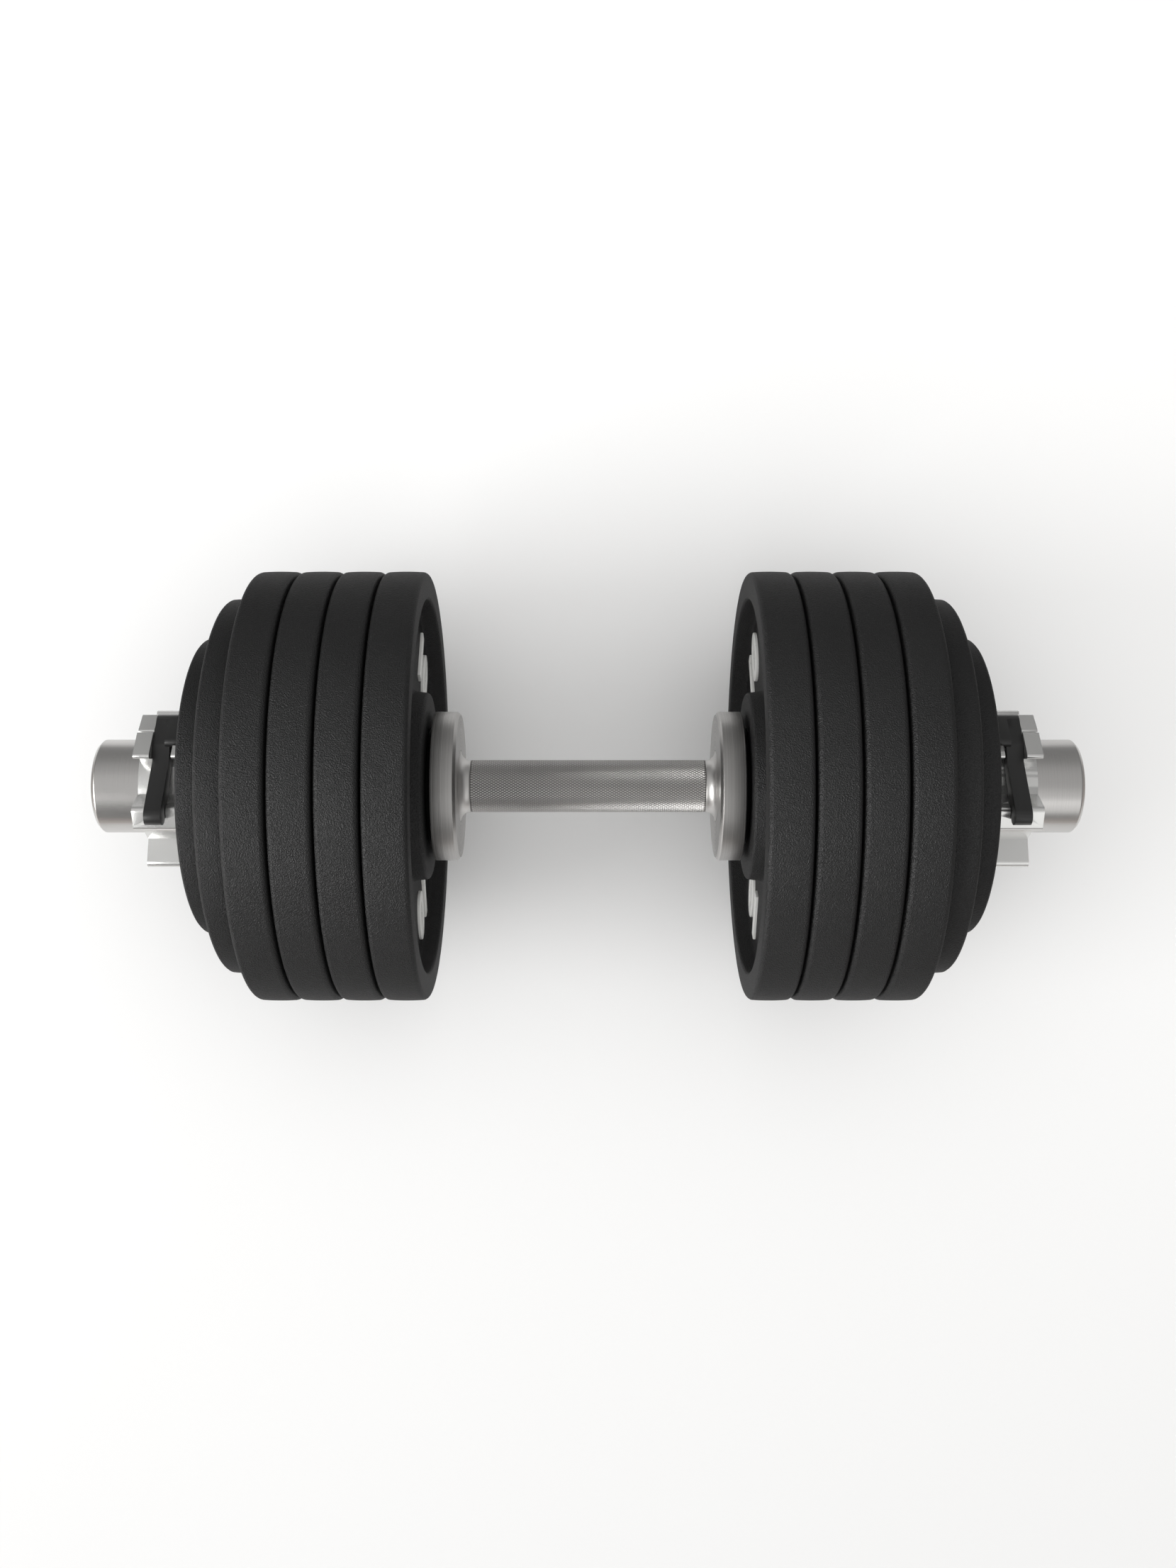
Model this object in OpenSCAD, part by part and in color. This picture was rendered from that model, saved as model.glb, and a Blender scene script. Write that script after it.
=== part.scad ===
// Plate-loading dumbbell: a knurled steel shaft, two turning sleeves that carry cast iron plates,
// and a split clamp collar with a cam lever on each sleeve. X runs along the shaft, Z is up,
// and the origin is the middle of the grip. Every piece is drawn at +X; the left side is its mirror image.

/* [Shaft] */
// Diameter of the grip
grip_d = 28; // [26:0.5:32]
// Length of the grip between the faces of the two flanges
grip_length = 136.8; // [125:0.2:150]
// Diameter of the shaft inside the sleeves
journal_d = 25; // [23:0.5:25]
// Diameter of the shoulder that stops each sleeve
shoulder_d = 38; // [36:0.5:40]

/* [Sleeves] */
// Outer diameter of a sleeve
sleeve_d = 50; // [49:0.5:51]
// Overall length of the dumbbell over the sleeve ends
overall_length = 521.4; // [515:0.2:540]
// Diameter of a flange
flange_d = 80; // [70:1:90]
// Thickness of a flange over its step
flange_t = 16.2; // [14:0.2:20]
// Height of the step that keeps the first plate off the flange's rim
flange_step = 2.8; // [2:0.2:4]
// Bevel around the end of a sleeve
sleeve_bevel = 2; // [1:0.5:3]

/* [Plates] */
// Number of large plates on each sleeve
big_count = 4; // [1:1:4]
// Diameter of a large plate
big_d = 229; // [210:1:240]
// Thickness of a large plate
big_t = 22.04; // [20:0.02:22.04]
// Diameter of the medium plate
medium_d = 200; // [180:1:210]
// Thickness of the medium plate
medium_t = 15.7; // [14:0.1:16]
// Diameter of the small plate
small_d = 158; // [140:1:170]
// Thickness of the small plate
small_t = 14; // [12:0.1:14.5]
// Clearance between the sleeve and the bore of a plate
plate_clearance = 0.35; // [0.3:0.05:0.6]
// Gap between neighbouring plates
plate_gap = 0.1; // [0.1:0.05:0.3]

/* [Clamp collar] */
// Width of the collar along the sleeve
collar_w = 31; // [28:0.5:33]
// Outer radius of the plain stretch of the collar
collar_r = 29.6; // [29.4:0.1:29.8]
// Width of the lever's arm
arm_w = 8.6; // [8:0.2:9]
// Radius of the pin that the lever turns on
lever_pin_r = 2.5; // [2:0.1:2.5]

/* [Hidden] */
$fn = 96;

steel_grey = [0.72, 0.72, 0.73];
bronze = [0.72, 0.52, 0.28];
iron_black = [0.16, 0.16, 0.16];
cast_silver = [0.78, 0.78, 0.77];
lever_black = [0.1, 0.1, 0.1];
running = 0.06;             // radial clearance of a running fit
play = 0.3;                 // gap between pieces that move past each other

// Places along the shaft, outwards from the middle
flange_in = grip_length / 2;
flange_out = flange_in + flange_t;
shoulder_out = flange_in + 4;
sleeve_in = shoulder_out + 2;
sleeve_out = overall_length / 2;
journal_r = journal_d / 2;
grip_r = grip_d / 2;
sleeve_r = sleeve_d / 2;
bush_r = 17;
bush_length = 30;
mouth_r = 20;               // counterbore at the outer end of a sleeve
mouth_in = sleeve_out - 23;
snap_in = mouth_in + 2.1;
snap_t = 1.6;
snap_depth = 1.1;
journal_out = sleeve_out - 14;
cap_t = 6;
cap_sunk = 1.5;

// Where each plate starts, worked out from the ones inside it
function plate_t(n) = n <= big_count ? big_t : n == big_count + 1 ? medium_t : small_t;
function plate_in(n) = n <= 1 ? flange_out + plate_gap / 2 : plate_in(n - 1) + plate_t(n - 1) + plate_gap;
collar_in = plate_in(big_count + 2) + small_t + plate_gap;
collar_out = collar_in + collar_w;

// Directions around the sleeve are angles from +Z towards +Y
function at(r, angle) = [r * sin(angle), r * cos(angle)];
split_angle = 43.5;         // where the collar is split
split_w = 1.6;
liner_in = sleeve_r + 0.1;
liner_t = 1.5;
foot_r = 24.6;              // lobes start inside the ring, where the bore then cuts them off
far_r = 60;                 // beyond every lobe
arm_out = collar_out - 8.6; // the lever's arm lies inside the outer cheek
arm_in = arm_out - arm_w;
hub_in = collar_in + 4.9;
hub_r = 5.7;
pin_point = at(38, 57);
ledge_r = 36.4;
ledge_w = 9.5;
nose_r = 2.6;
nose_point = at(ledge_r + play + nose_r, split_angle) + 5.5 * [-cos(split_angle), sin(split_angle)];
// Middle line and half thickness of the arm, from the hub to the tip
arm_line = [[pin_point, hub_r], [[20.6, 28.3], 4.2], [[11.5, 31], 2.9], [[-14.9, 45.9], 5]];

// ---------------------------------------------------------------- helpers

// Turns a shape drawn along Z so that it runs along X
module along_x() rotate([0, 90, 0]) children();

// Extrudes an outline drawn in Y and Z between two places along X
module between(x0, x1) translate([x0, 0, 0]) rotate([90, 0, 90]) linear_extrude(x1 - x0) children();

module ring(x0, x1, r_in, r_out) {
    along_x() translate([0, 0, x0]) rotate_extrude()
        translate([r_in, 0]) square([r_out - r_in, x1 - x0]);
}

// Rectangle from r0 to r1 and x0 to x1 whose outer corners are rounded
module round_edged(r0, r1, x0, x1, edge) {
    translate([r0, x0 + edge]) square([r1 - r0, x1 - x0 - 2 * edge]);
    translate([r0, x0]) square([r1 - r0 - edge, x1 - x0]);
    for (x = [x0 + edge, x1 - edge]) translate([r1 - edge, x]) circle(edge);
}

// Bar with round ends of two radii, tangent to both
module bar(p, rp, q, rq) {
    span = norm(q - p);
    heading = atan2(q[1] - p[1], q[0] - p[0]);
    lean = acos((rp - rq) / span);
    left = heading + lean;
    right = heading - lean;
    translate(p) circle(rp);
    translate(q) circle(rq);
    polygon([
        p + rp * [cos(left), sin(left)], q + rq * [cos(left), sin(left)],
        q + rq * [cos(right), sin(right)], p + rp * [cos(right), sin(right)]
    ]);
}

// Sector between two angles
module wedge(a0, a1, r) polygon(concat([[0, 0]], [for (i = [0:4]) at(r, a0 + (a1 - a0) * i / 4)]));

module left_side() mirror([1, 0, 0]) children();

// ---------------------------------------------------------------- shaft

module shaft_half() {
    fillet = (shoulder_d - grip_d) / 2;
    along_x() rotate_extrude() difference() {
        polygon([
            [0, 0], [grip_r, 0], [grip_r, flange_in - fillet], [shoulder_d / 2, flange_in - fillet],
            [shoulder_d / 2, shoulder_out], [journal_r, shoulder_out],
            [journal_r, snap_in - 0.05], [journal_r - snap_depth, snap_in - 0.05],
            [journal_r - snap_depth, snap_in + snap_t + 0.05], [journal_r, snap_in + snap_t + 0.05],
            [journal_r, journal_out - 1], [journal_r - 1, journal_out], [0, journal_out]
        ]);
        translate([shoulder_d / 2, flange_in - fillet]) circle(fillet);
    }
}

module shaft() color(steel_grey) {
    shaft_half();
    left_side() shaft_half();
}

// ---------------------------------------------------------------- sleeve and what turns with it

module sleeve() {
    color(steel_grey) along_x() rotate_extrude() polygon([
        [bush_r, sleeve_in], [sleeve_r, sleeve_in], [sleeve_r, sleeve_out - sleeve_bevel],
        [sleeve_r - sleeve_bevel, sleeve_out], [mouth_r, sleeve_out], [mouth_r, mouth_in],
        [bush_r, mouth_in]
    ]);
}

module flange() {
    edge = 1.2;
    rim_out = flange_out - flange_step;
    step_r = 31;
    color(steel_grey) along_x() rotate_extrude() polygon([
        [shoulder_d / 2 + running, flange_in], [flange_d / 2 - edge, flange_in],
        [flange_d / 2, flange_in + edge], [flange_d / 2, rim_out - edge],
        [flange_d / 2 - edge, rim_out], [step_r, rim_out], [step_r, flange_out],
        [sleeve_r, flange_out], [sleeve_r, sleeve_in], [shoulder_d / 2 + running, sleeve_in]
    ]);
}

module bush(x0) color(bronze) ring(x0, x0 + bush_length, journal_r + running, bush_r);

module thrust_washer() {
    color(bronze) ring(shoulder_out + 0.05, sleeve_in, journal_r + running, shoulder_d / 2 - 0.1);
}

module end_washer() color(steel_grey) ring(mouth_in, snap_in - 0.1, journal_r + running, bush_r + 2);

// Retaining ring in the groove of the shaft, open at the bottom, with two plier holes
module snap_ring() {
    lug_r = 2.4;
    color(steel_grey) difference() {
        union() {
            ring(snap_in, snap_in + snap_t, journal_r - snap_depth, journal_r + 1.6);
            between(snap_in, snap_in + snap_t)
                for (a = [168, 192]) translate(at(journal_r + 2.2, a)) circle(lug_r);
        }
        between(snap_in - 1, snap_in + snap_t + 1) {
            wedge(175, 185, journal_r * 2);
            for (a = [168, 192]) translate(at(journal_r + 2.2, a)) circle(0.9);
            circle(journal_r - snap_depth);
        }
    }
}

module end_cap() {
    dish = 1.5;
    color(steel_grey) along_x() rotate_extrude() polygon([
        [0, sleeve_out - cap_sunk - cap_t], [mouth_r, sleeve_out - cap_sunk - cap_t],
        [mouth_r, sleeve_out - cap_sunk - 0.8], [mouth_r - 0.8, sleeve_out - cap_sunk],
        [mouth_r - 4, sleeve_out - cap_sunk], [mouth_r - 5, sleeve_out - cap_sunk - dish],
        [0, sleeve_out - cap_sunk - dish]
    ]);
}

// ---------------------------------------------------------------- plates

// Trapezium cut out of the profile, with walls that lean as a casting's do
module recess(r0, r1, x0, x1, lean) {
    polygon([[r0 - lean, x0], [r1 + lean, x0], [r1, x1], [r0, x1]]);
}

// Large plate: a flush hub and rim, with one recess that faces the grip
module big_plate(n) {
    x = plate_in(n);
    depth = 9.6;
    hub_r = 50;
    rim = 14.6;
    color(iron_black) along_x() rotate_extrude() difference() {
        round_edged(sleeve_r + plate_clearance, big_d / 2, x, x + big_t, 2);
        recess(hub_r + 1.2, big_d / 2 - rim - 1.2, x - 0.01, x + depth, 1.2);
    }
}

// Medium and small plates: the recess faces outwards
module small_recess_plate(n, plate_r, hub_r, rim, web) {
    x = plate_in(n);
    t = plate_t(n);
    color(iron_black) along_x() rotate_extrude() difference() {
        round_edged(sleeve_r + plate_clearance, plate_r, x, x + t, 2);
        recess(hub_r + 1, plate_r - rim - 1, x + t + 0.01, x + web, 1);
    }
}

module plate(n) {
    if (n <= big_count) big_plate(n);
    if (n == big_count + 1) small_recess_plate(n, medium_d / 2, 45, 12, 7.6);
    if (n == big_count + 2) small_recess_plate(n, small_d / 2, 38, 9, 5.9);
}

// ---------------------------------------------------------------- clamp collar

// Lobe with rounded corners: a foot, two noses and a foot, joined by bars of the nose's radius
module lobe(corners, nose) {
    for (i = [0:2]) bar(corners[i], nose, corners[i + 1], nose);
    polygon(corners);
}

// Strip square to the split, between two distances from it and outwards from one radius to another
module strip(d0, d1, r0, r1) {
    rotate(-split_angle) translate([d0, r0]) square([d1 - d0, r1 - r0]);
}

// The two cast ears beside the split: one carries the lever's pin, the other takes its nose
module pin_ear() lobe([at(foot_r, 46), at(39.4, 46.6), at(41.1, 61.5), at(foot_r, 61.5)], 1.5);
module free_ear() lobe([[15.6, 19], [15.6, 38], at(40, 41.5), at(foot_r, 43)], 1.5);

module collar_body() {
    between(collar_in, collar_out) {
        circle(collar_r);
        polygon([
            at(foot_r, 99), at(41.2, 100.2), at(42.2, 103), at(42.2, 114), at(41.2, 116.8), at(foot_r, 118)
        ]);
        lobe([at(foot_r, -76), at(41.2, -77), at(41.2, -103), at(foot_r, -104)], 3);
        lobe([at(foot_r, -10), at(41.3, -17.8), at(41.3, -29.3), at(foot_r, -31)], 2.5);
    }
    between(collar_in, hub_in - play) pin_ear();
    between(arm_out + play, collar_out) pin_ear();
    between(collar_in, arm_in - 2.5) free_ear();
    between(arm_out + play, collar_out) free_ear();
}

module collar_ring() color(cast_silver) difference() {
    collar_body();
    between(collar_in - 1, collar_out + 1) {
        circle(liner_in + liner_t);
        strip(-split_w / 2, split_w / 2, 0, far_r);
        translate(pin_point) circle(lever_pin_r);
    }
    // groove under the lever's tip
    between(arm_in - play, arm_out + play) arm_outline(2 * play);
    // ledge on the free ear for the lever's nose, hollowed where the nose lies
    between(hub_in - play, arm_in) {
        strip(-ledge_w, 0, ledge_r, far_r);
        nose_outline(2 * play);
    }
}

module collar_liner() color(lever_black) between(collar_in + 0.5, collar_out - 0.5) difference() {
    circle(liner_in + liner_t);
    circle(liner_in);
    strip(-split_w / 2, split_w / 2, 0, sleeve_d);
}

// The arm's outline, grown by a margin
module arm_outline(margin) {
    for (i = [0:len(arm_line) - 2])
        bar(arm_line[i][0], arm_line[i][1] + margin, arm_line[i + 1][0], arm_line[i + 1][1] + margin);
}

// The clamping nose's outline, from the hub, grown by a margin
module nose_outline(margin) bar(pin_point, hub_r + margin, nose_point, nose_r + margin);

// Arm, hub and clamping nose in one piece
module cam_lever() color(lever_black) difference() {
    union() {
        between(arm_in, arm_out) arm_outline(0);
        between(hub_in, arm_out) translate(pin_point) circle(hub_r);
        between(hub_in, arm_in + 2) nose_outline(0);
    }
    between(hub_in - 1, arm_out + 1) translate(pin_point) circle(lever_pin_r + running);
}

module lever_pin() {
    color(steel_grey) between(collar_in + 0.5, collar_out - 0.5) translate(pin_point) circle(lever_pin_r);
}

// ---------------------------------------------------------------- all the pieces

shaft();

left_side() sleeve();  // sleeve_left
left_side() flange();  // flange_left
left_side() bush(sleeve_in);  // inner_bush_left
left_side() bush(mouth_in - bush_length);  // outer_bush_left
left_side() thrust_washer();  // thrust_washer_left
left_side() end_washer();  // end_washer_left
left_side() snap_ring();  // snap_ring_left
left_side() end_cap();  // end_cap_left
for (n = [1:big_count + 2]) left_side() plate(n);
left_side() collar_ring();  // collar_ring_left
left_side() collar_liner();  // collar_liner_left
left_side() cam_lever();  // cam_lever_left
left_side() lever_pin();  // lever_pin_left

sleeve();  // sleeve_right
flange();  // flange_right
bush(sleeve_in);  // inner_bush_right
bush(mouth_in - bush_length);  // outer_bush_right
thrust_washer();  // thrust_washer_right
end_washer();  // end_washer_right
snap_ring();  // snap_ring_right
end_cap();  // end_cap_right
for (n = [1:big_count + 2]) plate(n);
collar_ring();  // collar_ring_right
collar_liner();  // collar_liner_right
cam_lever();  // cam_lever_right
lever_pin();  // lever_pin_right
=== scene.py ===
"""Looks of the plate-loading dumbbell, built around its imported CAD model.

X runs along the shaft, Z is up, and the camera looks straight down on it. Lengths are in metres:
sizes that read better in millimetres are written as a number times MM. Angles are in degrees.
"""

import math
from collections import namedtuple

import bmesh
import bpy
import numpy as np
from mathutils import Matrix, Vector


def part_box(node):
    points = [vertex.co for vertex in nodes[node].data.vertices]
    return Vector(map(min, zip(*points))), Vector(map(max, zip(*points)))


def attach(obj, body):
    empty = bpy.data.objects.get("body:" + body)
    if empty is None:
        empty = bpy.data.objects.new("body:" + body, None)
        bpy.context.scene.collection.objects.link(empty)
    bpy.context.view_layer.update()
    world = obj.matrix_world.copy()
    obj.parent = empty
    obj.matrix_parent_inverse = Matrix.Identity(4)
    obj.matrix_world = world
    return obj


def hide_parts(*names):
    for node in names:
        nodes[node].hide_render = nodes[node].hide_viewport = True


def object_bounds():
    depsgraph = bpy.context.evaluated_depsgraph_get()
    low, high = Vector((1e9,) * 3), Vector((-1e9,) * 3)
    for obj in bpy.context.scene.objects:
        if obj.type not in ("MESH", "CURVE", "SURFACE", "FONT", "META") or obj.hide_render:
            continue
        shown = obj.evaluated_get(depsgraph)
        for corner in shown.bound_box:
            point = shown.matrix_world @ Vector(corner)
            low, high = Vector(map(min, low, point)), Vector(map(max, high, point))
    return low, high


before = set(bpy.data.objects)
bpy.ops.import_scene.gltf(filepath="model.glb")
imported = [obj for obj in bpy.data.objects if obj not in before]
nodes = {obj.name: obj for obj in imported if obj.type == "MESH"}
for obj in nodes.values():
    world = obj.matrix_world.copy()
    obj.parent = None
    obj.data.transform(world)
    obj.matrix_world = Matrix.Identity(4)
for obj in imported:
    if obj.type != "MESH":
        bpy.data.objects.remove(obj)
cad_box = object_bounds()

MM = 0.001
SIDES = {"left": -1, "right": 1}


# ---------------------------------------------------------------- shape helpers

ARC_STEPS = 5
WELD = 0.0001 * MM


def rounded(corners):
    """Points of an outline whose corners are (x, r, rounding radius), each rounding as an arc."""
    points = []
    for i, (x, r, rounding) in enumerate(corners):
        here = np.array([x, r])
        if rounding == 0:
            points.append(here)
            continue
        before = np.array(corners[i - 1][:2]) - here
        after = np.array(corners[(i + 1) % len(corners)][:2]) - here
        before /= np.linalg.norm(before)
        after /= np.linalg.norm(after)
        half = math.acos(np.clip(before @ after, -1, 1)) / 2
        middle = before + after
        centre = here + middle / np.linalg.norm(middle) * rounding / math.sin(half)
        start = here + before * rounding / math.tan(half) - centre
        end = here + after * rounding / math.tan(half) - centre
        turn = math.pi - 2 * half
        for k in range(ARC_STEPS + 1):
            share = k / ARC_STEPS
            arc = math.sin((1 - share) * turn) * start + math.sin(share * turn) * end
            points.append(centre + arc / math.sin(turn))
    return points


def to_object(bm, name, sharp_angle=35):
    """Turns a bmesh into a smooth-shaded object whose edges stay sharp above an angle."""
    bmesh.ops.remove_doubles(bm, verts=bm.verts, dist=WELD)
    bmesh.ops.recalc_face_normals(bm, faces=bm.faces)
    mesh = bpy.data.meshes.new(name)
    bm.to_mesh(mesh)
    bm.free()
    mesh.shade_smooth()
    mesh.set_sharp_from_angle(angle=math.radians(sharp_angle))
    made = bpy.data.objects.new(name, mesh)
    bpy.context.scene.collection.objects.link(made)
    return made


def from_grid(points, closed_rows):
    """bmesh of a grid of points whose columns run once round; the rows close too where asked."""
    rows, columns = points.shape[:2]
    bm = bmesh.new()
    verts = [bm.verts.new(p) for p in points.reshape(-1, 3)]
    for i in range(rows if closed_rows else rows - 1):
        upper = (i + 1) % rows
        for j in range(columns):
            right = (j + 1) % columns
            quad = [(i, j), (i, right), (upper, right), (upper, j)]
            bm.faces.new([verts[row * columns + column] for row, column in quad])
    return bm


def turned(name, outline, segments=288, closed=True):
    """Object made by turning an outline of (x, r) points about the X axis."""
    outline = np.array(outline)
    angle = np.linspace(0, 2 * math.pi, segments, endpoint=False)
    x = np.repeat(outline[:, :1], segments, axis=1)
    y = np.outer(outline[:, 1], np.cos(angle))
    z = np.outer(outline[:, 1], np.sin(angle))
    return to_object(from_grid(np.stack([x, y, z], axis=-1), closed), name)


def outline_from(side, corners):
    """Rounded outline on one side, of corners whose x is a distance from the middle of the grip."""
    return rounded([(side * x, r, rounding) for x, r, rounding in corners])


def reach(node):
    """Nearest and furthest distance of a CAD node from the middle of the grip along the shaft."""
    low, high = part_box(node)
    ends = sorted(abs(x) for x in (low.x, high.x))
    return ends[0], ends[1]


def radius(node):
    """Outer radius of a round CAD node."""
    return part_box(node)[1].y


def place(piece, body, slot, material, *replaced):
    """Gives a piece its material and its body, and hides the CAD nodes that it stands for. slot is not
    used.
    """
    piece.data.materials.clear()
    piece.data.materials.append(material)
    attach(piece, body)
    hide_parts(*replaced)


# ---------------------------------------------------------------- materials


class Nodes:
    """Adds nodes to a node tree and links them."""

    def __init__(self, tree):
        self.tree = tree

    def link(self, value, socket):
        """Feeds a socket from another socket, or gives it a plain value."""
        if isinstance(value, bpy.types.NodeSocket):
            self.tree.links.new(value, socket)
        else:
            socket.default_value = value

    def add(self, kind, inputs, output=0, **settings):
        """Adds a node, sets it up, and returns one of its output sockets."""
        node = self.tree.nodes.new("ShaderNode" + kind)
        for key, value in settings.items():
            setattr(node, key, value)
        for key, value in inputs.items():
            self.link(value, node.inputs[key])
        return node.outputs[output]

    def math(self, operation, a, b=0.0):
        return self.add("Math", {0: a, 1: b}, operation=operation)


class Shader(Nodes):
    """Builds a material's nodes around one Principled shader."""

    def __init__(self, name, **constants):
        self.material = bpy.data.materials.new(name)
        self.material.use_nodes = True
        super().__init__(self.material.node_tree)
        self.surface = self.tree.nodes["Principled BSDF"]
        self.set(**constants)

    def set(self, **sockets):
        """Feeds the Principled shader's sockets, named with _ for each space."""
        for socket, value in sockets.items():
            self.link(value, self.surface.inputs[socket.replace("_", " ")])

    def bump(self, height, distance, strength):
        inputs = {"Height": height, "Distance": distance, "Strength": strength}
        self.set(Normal=self.add("Bump", inputs))

    def place_in_object(self):
        return self.add("TexCoord", {}, output="Object")

    def parts(self, where):
        """The X, Y and Z of a place."""
        outputs = self.add("SeparateXYZ", {"Vector": where}).node.outputs
        return outputs[0], outputs[1], outputs[2]

    def length(self, vector):
        return self.add("VectorMath", {0: vector}, output="Value", operation="LENGTH")

    def from_axis(self, where):
        """Distance of a place from the shaft's axis."""
        _, y, z = self.parts(where)
        return self.length(self.add("CombineXYZ", {"Y": y, "Z": z}))

    def noise(self, where, scale, detail=2.0, roughness=0.5):
        inputs = {"Vector": where, "Scale": scale, "Detail": detail, "Roughness": roughness}
        return self.add("TexNoise", inputs)

    def bent(self, where, scale, distance):
        """Place that wanders by up to a distance, to bend the pattern that is laid on it."""
        inputs = {"Vector": where, "Scale": scale, "Detail": 2.0}
        colour = self.add("TexNoise", inputs, output="Color")
        centred = self.add("VectorMath", {0: colour, 1: (0.5, 0.5, 0.5)}, operation="SUBTRACT")
        wander = self.add("VectorMath", {0: centred, "Scale": 2 * distance}, operation="SCALE")
        return self.add("VectorMath", {0: where, 1: wander}, operation="ADD")

    def cells(self, where, scale):
        """Smoothed cells, as in a sprayed coat or a cast skin."""
        inputs = {"Vector": where, "Scale": scale, "Smoothness": 1.0, "Randomness": 1.0}
        return self.add("TexVoronoi", inputs, feature="SMOOTH_F1")

    def between(self, share, low, high):
        """Number that runs from low to high as share runs from 0 to 1."""
        return self.add("MapRange", {"Value": share, "To Min": low, "To Max": high})

    def window(self, value, start, end):
        """0 below start, 1 above end."""
        return self.add("MapRange", {"Value": value, "From Min": start, "From Max": end})

    def mix(self, share, a, b):
        """Colour between two colours."""
        factor, first, second, result = 0, 6, 7, 2
        node = self.tree.nodes.new("ShaderNodeMix")
        node.data_type = "RGBA"
        self.link(share, node.inputs[factor])
        for colour, index in ((a, first), (b, second)):
            is_plain = isinstance(colour, tuple)
            self.link((*colour, 1.0) if is_plain else colour, node.inputs[index])
        return node.outputs[result]

    def edges(self, start=0.52, end=0.62):
        """1 on convex edges: where a finish wears first, and where the alloy gets a painted highlight.
        """
        return self.window(self.add("NewGeometry", {}, output="Pointiness"), start, end)


def grey(value):
    return value, value, value


def cast_iron():
    """Baked black enamel over a sand casting, with an orange-peel skin."""
    s = Shader("cast_iron_enamel", Metallic=0.7, Specular_IOR_Level=0.0)
    where = s.place_in_object()
    peel = s.cells(s.bent(where, 1200, 0.5 * MM), 1750)
    grain = s.noise(where, 2800)
    broad = s.noise(where, 35, 3.0)
    height = s.math("ADD", peel, s.math("MULTIPLY", grain, 0.3))
    s.bump(height, 0.5 * MM, 0.9)
    tone = s.mix(broad, (0.037, 0.037, 0.0374), (0.045, 0.045, 0.0454))
    worn = s.math("MULTIPLY", s.edges(), 0.5)
    s.set(Base_Color=s.mix(worn, tone, (0.075, 0.075, 0.076)))
    s.set(Specular_Tint=(0.62, 0.62, 0.62, 1))
    s.set(Roughness=s.between(grain, 0.38, 0.5))
    return s.material


def lathe_lines(s, where, scale):
    """Noise that changes along the axis and outwards but not around it, as turned marks do."""
    x, _, _ = s.parts(where)
    along_and_out = s.add("CombineXYZ", {"X": x, "Y": s.from_axis(where)})
    return s.noise(along_and_out, scale, 4.0, 0.7)


def turned_steel(name, colour, roughness, line_scale, line_depth, wear=0.9, painted_shade_from=None):
    """Steel from the lathe, with marks that run round it.

    roughness is (low, high), and wear is how dark the marks are, as a share of the colour. Past
    the last argument, a distance from the middle of the grip along the shaft, the steel gets painted
    shade: near black, as on the flange's back step down in the gap beside the first plate.
    """
    s = Shader(name, Metallic=1.0, Anisotropic=0.6)
    where = s.place_in_object()
    lines = lathe_lines(s, where, line_scale)
    patches = s.noise(where, 60, 3.0)
    s.set(Tangent=s.add("Tangent", {}, direction_type="RADIAL", axis="X"))
    worn = tuple(c * wear for c in colour)
    tone = s.mix(s.window(lines, 0.35, 0.65), worn, colour)
    # Painted shade: the flange's back step, in the gap beside the first plate, is painted near black.
    if painted_shade_from:
        x, _, _ = s.parts(where)
        beyond = s.window(s.math("ABSOLUTE", x), painted_shade_from, painted_shade_from + 0.3 * MM)
        tone = s.mix(beyond, tone, grey(0.02))
    s.set(Base_Color=tone)
    smudges = s.between(patches, -0.04, 0.04)
    s.set(Roughness=s.math("ADD", s.between(lines, *roughness), smudges))
    s.bump(lines, line_depth, 0.6)
    return s.material


def knurled_steel(tip_r, groove_r):
    """Satin steel of the grip, with painted shade that darkens it down in the knurl's grooves."""
    s = Shader("grip_steel_satin", Metallic=1.0)
    where = s.place_in_object()
    raised = s.window(s.from_axis(where), groove_r, tip_r)
    patches = s.noise(where, 90, 3.0)
    scratches = s.noise(where, 2600)
    bright = s.mix(patches, (0.53, 0.52, 0.51), (0.6, 0.59, 0.58))
    # Painted shade: the steel is much darker down in the knurl's grooves than on the diamonds' tops.
    s.set(Base_Color=s.mix(raised, (0.2, 0.195, 0.19), bright))
    s.set(Roughness=s.between(patches, 0.36, 0.46))
    s.bump(scratches, 0.03 * MM, 0.5)
    return s.material


def cast_alloy():
    """Satin aluminium casting, with a painted highlight that makes its edges brighter."""
    s = Shader("cast_alloy_satin", Metallic=0.85)
    where = s.place_in_object()
    grain = s.noise(where, 2600, 3.0, 0.6)
    patches = s.noise(where, 70, 3.0)
    tone = s.mix(patches, (0.38, 0.38, 0.375), (0.43, 0.43, 0.425))
    # Painted highlight: the alloy is much paler along its convex edges.
    s.set(Base_Color=s.mix(s.edges(0.56, 0.7), tone, (0.7, 0.7, 0.69)))
    s.set(Roughness=s.between(grain, 0.2, 0.28))
    s.bump(grain, 0.04 * MM, 0.5)
    return s.material


def coated_black(name, tone, roughness, grain_scale):
    """Black powder coat or moulded nylon with a fine grain and paler edges."""
    s = Shader(name, Specular_IOR_Level=0.5)
    where = s.place_in_object()
    grain = s.noise(where, grain_scale, 3.0, 0.6)
    worn = s.math("MULTIPLY", s.edges(), 0.6)
    s.set(Base_Color=s.mix(worn, grey(tone), grey(2.6 * tone)))
    s.set(Roughness=s.between(grain, *roughness))
    s.bump(grain, 0.06 * MM, 0.5)
    return s.material


def number_paint():
    """White enamel rolled on to the raised numbers, thin in places."""
    s = Shader("number_paint", Specular_IOR_Level=0.4)
    where = s.place_in_object()
    thin = s.window(s.noise(where, 420, 4.0, 0.65), 0.62, 0.74)
    s.set(Base_Color=s.mix(thin, (0.72, 0.72, 0.7), (0.42, 0.42, 0.41)))
    s.set(Roughness=s.between(thin, 0.42, 0.6))
    s.bump(s.noise(where, 900), 0.12 * MM, 0.5)
    return s.material


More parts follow.
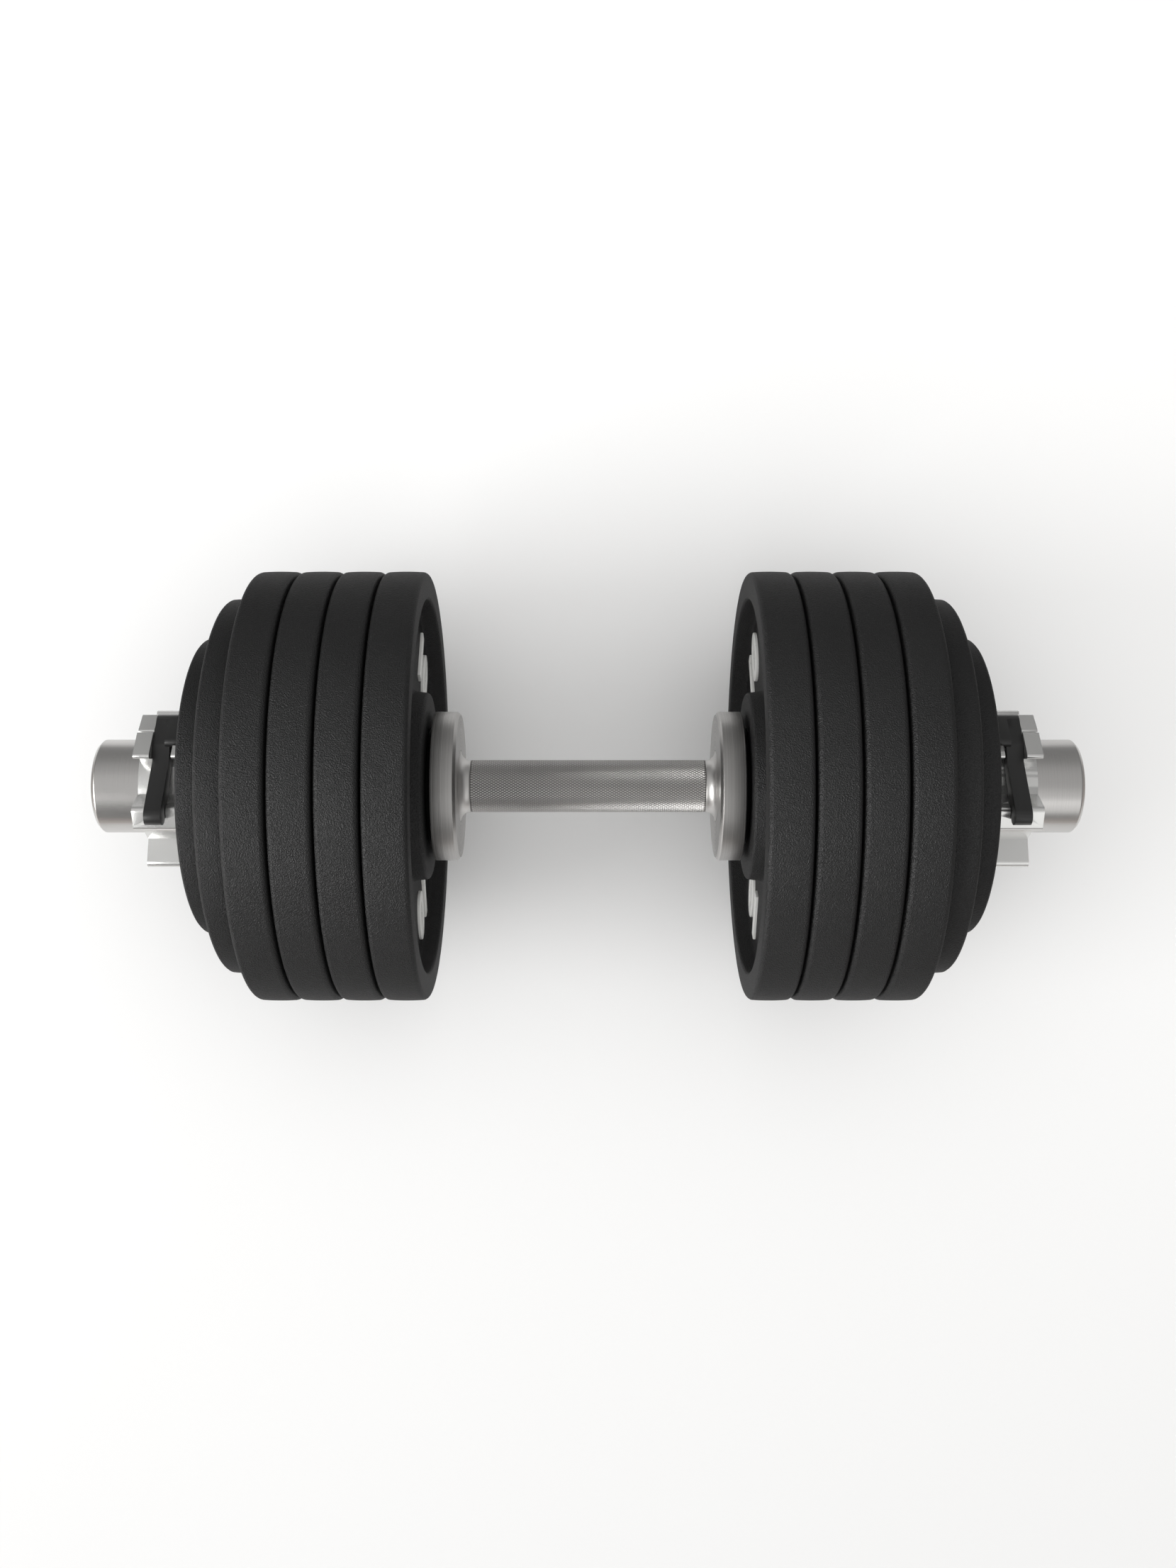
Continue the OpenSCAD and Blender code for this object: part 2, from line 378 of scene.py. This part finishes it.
def floor_paper():
    """White studio paper, with painted shade that makes it greyer in front. In reflections it ends and
    a painted room begins.
    """
    s = Shader("studio_paper", Specular_IOR_Level=0.2)
    where = s.place_in_object()
    _, y, _ = s.parts(where)
    # Painted shade: the paper is greyer towards the front.
    paper = s.mix(s.window(y, -0.5, 0.2), grey(0.8), grey(0.94))
    from_front = s.add("VectorMath", {0: where, 1: (0.0, 0.15, 0.0)}, operation="ADD")
    polished = s.add("LightPath", {}, output="Is Glossy Ray")
    beyond = s.math("MULTIPLY", polished, s.window(s.length(from_front), 0.45, 0.62))
    # Painted reflection: past the paper's edge, reflections see a room colour, warmer in front and
    # greyer behind.
    room = s.mix(s.window(y, -0.2, 0.2), (0.46, 0.41, 0.38), grey(0.25))
    s.set(Base_Color=s.mix(beyond, paper, room))
    s.set(Roughness=0.85)
    return s.material


# ---------------------------------------------------------------- plates

iron = cast_iron()
paint = number_paint()

PlateShape = namedtuple("PlateShape", "hub_r rim web lean recess_faces_grip")
BIG_PLATE = PlateShape(50 * MM, 14.6 * MM, 12.44 * MM, 1.2 * MM, True)
MEDIUM_PLATE = PlateShape(45 * MM, 12 * MM, 7.6 * MM, 1 * MM, False)
SMALL_PLATE = PlateShape(38 * MM, 9 * MM, 5.9 * MM, 1 * MM, False)
PLATES = [BIG_PLATE, BIG_PLATE, BIG_PLATE, BIG_PLATE, MEDIUM_PLATE, SMALL_PLATE]

PLATE_SEGMENTS = 360
BORE_GAP = 0.35 * MM
BORE_EDGE = 0.8 * MM
PLATE_EDGE = 2.4 * MM
RIM_INNER_EDGE = 1.6 * MM
HUB_EDGE = 2 * MM
WEB_CORNER = 3 * MM
CROWN = 0.45 * MM
CROWN_STEPS = 8
RIM_GAP = 1.1 * MM


def plate_outline(side, node, shape, rim_gap):
    """Plate with a hub, a crowned rim and between them a web at the bottom of one recess."""
    near, far = reach(node)
    outer_r = radius(node)
    bore_r = radius("sleeve_right") + BORE_GAP
    if shape.recess_faces_grip:
        face, back, floor = near, far, far - shape.web
    else:
        face, back, floor = far, near, near + shape.web
    rim_face = face + rim_gap
    shares = [(k + 1) / (CROWN_STEPS + 1) for k in range(CROWN_STEPS)]
    corners = [
        (back, bore_r, BORE_EDGE),
        (back, outer_r, PLATE_EDGE),
        *((back + (rim_face - back) * share, outer_r, 0) for share in shares),
        (rim_face, outer_r, PLATE_EDGE),
        (rim_face, outer_r - shape.rim, RIM_INNER_EDGE),
        (floor, outer_r - shape.rim - shape.lean, WEB_CORNER),
        (floor, shape.hub_r + shape.lean, WEB_CORNER),
        (face, shape.hub_r, HUB_EDGE),
        (face, bore_r, BORE_EDGE),
    ]
    middle = (near + far) / 2
    crowned = []
    for x, r in outline_from(side, corners):
        off = (abs(x) - middle) / (far - middle)
        on_rim = min(1, max(0, (r - outer_r + 2 * PLATE_EDGE) / PLATE_EDGE))
        crowned.append((x, r - CROWN * off * off * on_rim))
    return crowned


def plates(side_name, side):
    """Plates of one side. The big ones after the first have their rims set back a little."""
    for n, shape in enumerate(PLATES, start=1):
        node = f"plate_{n}_{side_name}"
        rim_gap = RIM_GAP if n > 1 and shape is BIG_PLATE else 0
        outline = plate_outline(side, node, shape, rim_gap)
        place(turned(f"iron_{node}", outline, PLATE_SEGMENTS), node, "iron", iron, node)


for side_name, side in SIDES.items():
    plates(side_name, side)


NUMBER = "10"
NUMBER_HEIGHT = 28 * MM
DIGIT_SHARE = 0.7  # height of a digit as a share of the font's size
NUMBER_RAISE = 1.1 * MM
NUMBER_BOLD = 0.6 * MM
NUMBER_BEVEL = 0.45 * MM
NUMBER_R = 77 * MM
NUMBER_PLACES = (58, 122, 238, 302)


def number_mesh():
    """The plate's weight as one mesh of raised digits that lies in the XY plane."""
    text = bpy.data.curves.new("number", "FONT")
    text.body = NUMBER
    text.size = NUMBER_HEIGHT / DIGIT_SHARE
    text.align_x = "CENTER"
    text.align_y = "CENTER"
    text.extrude = NUMBER_RAISE
    text.bevel_depth = NUMBER_BEVEL
    text.bevel_resolution = 3
    text.offset = NUMBER_BOLD
    text.space_character = 1.05
    model = bpy.data.objects.new("number", text)
    bpy.context.scene.collection.objects.link(model)
    bpy.context.view_layer.update()
    evaluated = model.evaluated_get(bpy.context.evaluated_depsgraph_get())
    mesh = bpy.data.meshes.new_from_object(evaluated)
    bpy.data.objects.remove(model)
    return mesh


def raised_numbers(side_name, side):
    """The plate's weight, cast in relief on its web and rolled with paint, four times round."""
    node = f"plate_1_{side_name}"
    web_x = side * (reach(node)[1] - BIG_PLATE.web)
    mesh = number_mesh()
    upright = Matrix.Rotation(math.radians(90), 4, "X")
    facing = Matrix.Rotation(math.radians(-90 * side), 4, "Z")
    outward = Matrix.Translation((web_x, 0, NUMBER_R))
    bm = bmesh.new()
    for turn in NUMBER_PLACES:
        start = len(bm.verts)
        bm.from_mesh(mesh)
        bm.verts.ensure_lookup_table()
        around = Matrix.Rotation(math.radians(turn), 4, "X")
        to_place = around @ outward @ facing @ upright
        bmesh.ops.transform(bm, matrix=to_place, verts=bm.verts[start:])
    piece = to_object(bm, f"raised_numbers_{side_name}")
    place(piece, node, None, paint)


for side_name, side in SIDES.items():
    raised_numbers(side_name, side)


# ---------------------------------------------------------------- shaft

GRIP_R = 14 * MM
GRIP_END = reach("flange_right")[0]
FILLET = 5 * MM
FILLET_POINTS = 10
SHOULDER_R = 19 * MM
SHOULDER_W = 4 * MM
JOURNAL_R = 12.5 * MM
JOURNAL_CHAMFER = 1 * MM
SHAFT_END = reach("shaft")[1]

KNURL_DEPTH = 0.26 * MM
KNURL_PITCH = 2.33 * MM
KNURL_ROUND = 62  # diamonds round the grip
KNURL_TOP = 0.55  # flat top of a diamond as a share of its width
KNURL_RAMP = 0.4 * MM  # from the grooves' depth up to the plain stretch
KNURL_MARGIN = 0.6 * MM  # between the knurl and the fillet
SHAFT_COLUMNS = 2 * KNURL_ROUND


def knurled_tube(bm, half_length):
    """Diamonds with flat tops between two sets of crossing grooves; returns the two end rings."""
    columns = SHAFT_COLUMNS
    rows = 4 * round(half_length / KNURL_PITCH)

    def point(i, j, r):
        """Place on the tube at row i along it and column j round it; both may be fractions."""
        turn = 2 * math.pi * j / columns
        x = half_length * (2 * i / rows - 1)
        return bm.verts.new((x, r * math.cos(turn), r * math.sin(turn)))

    base = {}
    for i in range(rows + 1):
        for j in range(columns):
            if (i + j) % 2 or i in (0, rows):
                base[i, j] = point(i, j, GRIP_R - KNURL_DEPTH)
    steps = [(1, 0), (0, 1), (-1, 0), (0, -1)]
    for i in range(1, rows):
        for j in range(i % 2, columns, 2):
            top = [point(i + KNURL_TOP * a, j + KNURL_TOP * b, GRIP_R) for a, b in steps]
            foot = [base[i + a, (j + b) % columns] for a, b in steps]
            bm.faces.new(top)
            for k in range(4):
                bm.faces.new([foot[k - 1], foot[k], top[k], top[k - 1]])
    for i, inner in ((0, 1), (rows, rows - 1)):
        for j in range(i % 2, columns, 2):
            before, after = (j - 1) % columns, (j + 1) % columns
            bm.faces.new([base[i, before], base[i, j], base[inner, j]])
            bm.faces.new([base[i, j], base[i, after], base[inner, j]])
    return [[base[i, j] for j in range(columns)] for i in (0, rows)]


def shaft_end_outline(knurl_end):
    """Outline of the shaft from the end of the knurl to its axis: fillet, shoulder and journal."""
    fillet_start = GRIP_END - FILLET
    shoulder_out = GRIP_END + SHOULDER_W
    outline = [(knurl_end + KNURL_RAMP, GRIP_R)]
    outline += [
        (fillet_start + FILLET * math.sin(a), GRIP_R + FILLET * (1 - math.cos(a)))
        for a in np.linspace(0, math.pi / 2, FILLET_POINTS)
    ]
    outline += [
        (shoulder_out, SHOULDER_R),
        (shoulder_out, JOURNAL_R),
        (SHAFT_END - JOURNAL_CHAMFER, JOURNAL_R),
        (SHAFT_END, JOURNAL_R - JOURNAL_CHAMFER),
        (SHAFT_END, 0),
    ]
    return outline


def shaft():
    """The whole shaft as one mesh: the knurled tube, and an end turned on to each of its rings."""
    bm = bmesh.new()
    knurl_end = GRIP_END - FILLET - KNURL_MARGIN
    outline = shaft_end_outline(knurl_end)
    columns = SHAFT_COLUMNS
    angles = [2 * math.pi * j / columns for j in range(columns)]
    for side, ring in zip((-1, 1), knurled_tube(bm, knurl_end)):
        for x, r in outline:
            further = [bm.verts.new((side * x, r * math.cos(a), r * math.sin(a))) for a in angles]
            for j in range(columns):
                after = (j + 1) % columns
                bm.faces.new([ring[j], ring[after], further[after], further[j]])
            ring = further
    made = to_object(bm, "knurled_shaft", sharp_angle=25)
    place(made, "shaft", "grip_steel", knurled_steel(GRIP_R, GRIP_R - KNURL_DEPTH), "shaft")


shaft()


# ---------------------------------------------------------------- sleeves, flanges and caps

MOUTH_R = 20 * MM
MOUTH_DEPTH = 23 * MM
BUSH_R = 17 * MM
SLEEVE_BEVEL = 2 * MM
FLANGE_CHAMFER = 1.6 * MM
FLANGE_EDGE = 0.4 * MM
FLANGE_STEP = 2.8 * MM  # keeps the first plate off the flange's rim
STEP_R = 31 * MM
SHOULDER_GAP = 0.06 * MM
CAP_DISH = 1.5 * MM
CAP_SEGMENTS = 192

sleeve_steel = turned_steel(
    "sleeve_steel_brushed",
    (0.56, 0.55, 0.54),
    (0.2, 0.28),
    2200,
    0.02 * MM,
)
flange_steel = turned_steel(
    "flange_steel_turned",
    (0.52, 0.51, 0.5),
    (0.26, 0.4),
    1500,
    0.04 * MM,
    wear=0.55,
    # painted shade: the flange's back step beyond this distance is painted near black
    painted_shade_from=reach("flange_right")[1] - FLANGE_STEP - 0.1 * MM,
)
small_steel = turned_steel("small_steel_turned", grey(0.5), (0.25, 0.4), 1500, 0.03 * MM)
bronze = turned_steel("bronze_turned", (0.55, 0.36, 0.17), (0.28, 0.4), 1500, 0.03 * MM)


def sleeve(side_name, side):
    node = f"sleeve_{side_name}"
    near, far = reach(node)
    outer_r = radius(node)
    mouth_in = far - MOUTH_DEPTH
    corners = [
        (near, outer_r, 0),
        (far - SLEEVE_BEVEL, outer_r, 1.2 * MM),
        (far, outer_r - SLEEVE_BEVEL, 0.6 * MM),
        (far, MOUTH_R, 0.5 * MM),
        (mouth_in, MOUTH_R, 0),
        (mouth_in, BUSH_R, 0),
        (near, BUSH_R, 0),
    ]
    piece = turned(f"steel_{node}", outline_from(side, corners))
    place(piece, f"head_{side_name}", "sleeve_steel", sleeve_steel, node)


def flange(side_name, side):
    """Flange with a chamfered rim, a step at its back, and a seat that holds the sleeve's end."""
    node = f"flange_{side_name}"
    sleeve_node = f"sleeve_{side_name}"
    near, far = reach(node)
    outer_r = radius(node)
    seat_in, seat_r = reach(sleeve_node)[0], radius(sleeve_node)
    step_in = far - FLANGE_STEP
    bore_r = SHOULDER_R + SHOULDER_GAP
    bore_chamfer = 0.5 * MM
    corners = [
        (near, bore_r + bore_chamfer, 0),
        (near, outer_r - FLANGE_CHAMFER, 0.3 * MM),
        (near + FLANGE_CHAMFER, outer_r, 0.3 * MM),
        (step_in - FLANGE_EDGE, outer_r, 0.2 * MM),
        (step_in, outer_r - FLANGE_EDGE, 0.2 * MM),
        (step_in, STEP_R, 0.5 * MM),
        (far, STEP_R, 0.3 * MM),
        (far, seat_r, 0),
        (seat_in, seat_r, 0),
        (seat_in, bore_r, 0),
        (near + bore_chamfer, bore_r, 0),
    ]
    piece = turned(f"steel_{node}", outline_from(side, corners))
    place(piece, f"head_{side_name}", "flange_steel", flange_steel, node)


def end_cap(side_name, side):
    """Dished cap with a shallow round pocket in its middle, sunk into the sleeve's mouth."""
    node = f"end_cap_{side_name}"
    near, far = reach(node)
    dish = far - CAP_DISH
    pocket = dish - 0.5 * MM
    corners = [
        (near, 0, 0),
        (near, MOUTH_R, 0),
        (far, MOUTH_R, 0.8 * MM),
        (far, MOUTH_R - 4 * MM, 0.5 * MM),
        (dish, MOUTH_R - 5 * MM, 0.7 * MM),
        (dish, 5 * MM, 0.4 * MM),
        (pocket, 4 * MM, 0.3 * MM),
        (pocket, 0, 0),
    ]
    piece = turned(f"steel_{node}", outline_from(side, corners), CAP_SEGMENTS, closed=False)
    place(piece, f"head_{side_name}", "small_steel", small_steel, node)


for side_name, side in SIDES.items():
    sleeve(side_name, side)
    flange(side_name, side)
    end_cap(side_name, side)


# ---------------------------------------------------------------- clamp collars

alloy = cast_alloy()
lever_coat = coated_black("lever_satin_black", 0.012, (0.3, 0.42), 1600)
liner_nylon = coated_black("liner_nylon", 0.014, (0.45, 0.6), 900)

CAD_WELD = 0.002 * MM
FLAT_WITHIN = math.radians(0.5)
SHARP_OVER = math.radians(30)
LONG_EDGE = 6 * MM
RING_EDGE = 0.5 * MM
RING_HOLLOW = 1 * MM
LEVER_EDGE = 1 * MM


def bevelled(bm, chosen, width, steps):
    """Rounds the chosen edges of a bmesh."""
    bmesh.ops.bevel(
        bm,
        geom=chosen,
        offset=width,
        segments=steps,
        profile=0.5,
        affect="EDGES",
        clamp_overlap=True,
    )


def softened_copy(name, node, edge, hollow, body, slot, material):
    """Copy of a CAD node with its edges rounded, and its long inner corners where hollow isn't 0."""
    bm = bmesh.new()
    bm.from_mesh(nodes[node].data)
    bmesh.ops.remove_doubles(bm, verts=bm.verts, dist=CAD_WELD)
    bmesh.ops.dissolve_limit(bm, angle_limit=FLAT_WITHIN, verts=bm.verts, edges=bm.edges)
    bmesh.ops.recalc_face_normals(bm, faces=bm.faces)

    def corner(e):
        """How far an edge turns outwards; less than zero in an inner corner."""
        return e.calc_face_angle_signed() if e.is_manifold else 0

    if hollow:
        inner = [e for e in bm.edges if corner(e) < -SHARP_OVER and e.calc_length() > LONG_EDGE]
        bevelled(bm, inner, hollow, 4)
    outer = [e for e in bm.edges if corner(e) > SHARP_OVER]
    bevelled(bm, outer, edge, 3)
    place(to_object(bm, name, sharp_angle=40), body, slot, material, node)


for side_name in SIDES:
    ring, collar = f"collar_ring_{side_name}", f"collar_{side_name}"
    cam, lever = f"cam_lever_{side_name}", f"lever_{side_name}"
    softened_copy(f"alloy_{collar}", ring, RING_EDGE, RING_HOLLOW, collar, "cast_alloy", alloy)
    softened_copy(f"coated_{lever}", cam, LEVER_EDGE, 0, lever, "lever_coat", lever_coat)


# ---------------------------------------------------------------- CAD pieces that keep their shape

CARRIED = {
    "collar_liner": liner_nylon,
    "lever_pin": small_steel,
    "snap_ring": small_steel,
    "end_washer": small_steel,
    "thrust_washer": bronze,
    "inner_bush": bronze,
    "outer_bush": bronze,
}
for side_name in SIDES:
    for stem, material in CARRIED.items():
        mesh = nodes[f"{stem}_{side_name}"].data
        for k in range(len(mesh.materials)):
            mesh.materials[k] = material


# ---------------------------------------------------------------- camera, floor and light

CAMERA_AT = (0, 1.1 * MM, 851.6 * MM)
SENSOR_HEIGHT = 36
LENS = 36.29
VIEW_END = 50

FLOOR_Z = cad_box[0].z
FLOOR_HALF = 6

# The world's light. Each card is its direction, the angles of its edge and its core, and its strength.
LIGHT_COLOUR = (1, 0.995, 0.985, 1)
BACKDROP = 0.9
EVEN_LIGHT = 0.45
OVERHEAD = ((0.0, 0.0, 1.0), 60, 10, 1.2)
ROOM_GREY = 0.3
CARDS = [
    ((-0.15, 0.1, 1.0), 75, 5, 0.26),
    ((-0.3, 0.2, 1.0), 25, 6, 0.14),
    ((0.35, -0.75, 0.55), 24, 8, 0.7),
    ((0.1, -0.5, 0.85), 34, 4, 0.3),
    ((-0.74, -0.36, 0.57), 24, 10, 8.5),
    ((-1.0, -0.25, 0.15), 32, 12, 4.0),
]


def camera():
    data = bpy.data.cameras.new("camera")
    data.sensor_fit = "VERTICAL"
    data.sensor_height = SENSOR_HEIGHT
    data.lens = LENS
    data.clip_end = VIEW_END
    made = bpy.data.objects.new("camera", data)
    made.location = CAMERA_AT
    bpy.context.scene.collection.objects.link(made)
    bpy.context.scene.camera = made


def stage_floor():
    bm = bmesh.new()
    corners = [(-1, -1), (1, -1), (1, 1), (-1, 1)]
    verts = [bm.verts.new((FLOOR_HALF * x, FLOOR_HALF * y, FLOOR_Z)) for x, y in corners]
    bm.faces.new(verts)
    made = to_object(bm, "studio_floor")
    made.data.materials.append(floor_paper())


def area_light(name, place_at, aim_at, size, power):
    """Square soft box that polished metal doesn't see."""
    data = bpy.data.lights.new(name, "AREA")
    data.shape = "SQUARE"
    data.size = size
    data.energy = power
    made = bpy.data.objects.new(name, data)
    made.location = place_at
    direction = Vector(aim_at) - Vector(place_at)
    made.rotation_euler = direction.to_track_quat("-Z", "Y").to_euler()
    made.visible_glossy = False
    bpy.context.scene.collection.objects.link(made)


def world_light():
    """Soft studio: even light on matt surfaces, and a greyer room with pale cards in reflections."""
    world = bpy.data.worlds.new("studio")
    bpy.context.scene.world = world
    world.use_nodes = True
    w = Nodes(world.node_tree)
    looked_at = w.add("TexCoord", {}, output="Generated")

    def card(direction, edge, core, strength):
        """Soft round patch of light in a direction, fading from its core to its edge."""
        inputs = {0: looked_at, 1: Vector(direction).normalized()}
        near = w.add("VectorMath", inputs, output="Value", operation="DOT_PRODUCT")
        edge_at, core_at = (math.cos(math.radians(angle)) for angle in (edge, core))
        limits = {"Value": near, "From Min": edge_at, "From Max": core_at}
        shape = w.add("MapRange", limits, interpolation_type="SMOOTHERSTEP")
        return w.math("MULTIPLY", shape, strength)

    def choose(ray, otherwise, then):
        """One strength for rays of a kind, another for the rest."""
        is_ray = w.add("LightPath", {}, output=ray)
        return w.add("MapRange", {"Value": is_ray, "To Min": otherwise, "To Max": then})

    room = ROOM_GREY
    for patch in CARDS:
        room = w.math("ADD", room, card(*patch))
    even = w.math("ADD", EVEN_LIGHT, card(*OVERHEAD))
    lit = choose("Is Glossy Ray", even, room)
    background = w.tree.nodes["Background"]
    w.link(choose("Is Camera Ray", lit, BACKDROP), background.inputs["Strength"])
    w.link(LIGHT_COLOUR, background.inputs["Color"])


camera()
stage_floor()
world_light()
area_light("key", place_at=(-2.4, -0.8, 1.6), aim_at=(0, 0, 0), size=1.7, power=34)
bpy.context.scene.view_settings.view_transform = "Standard"
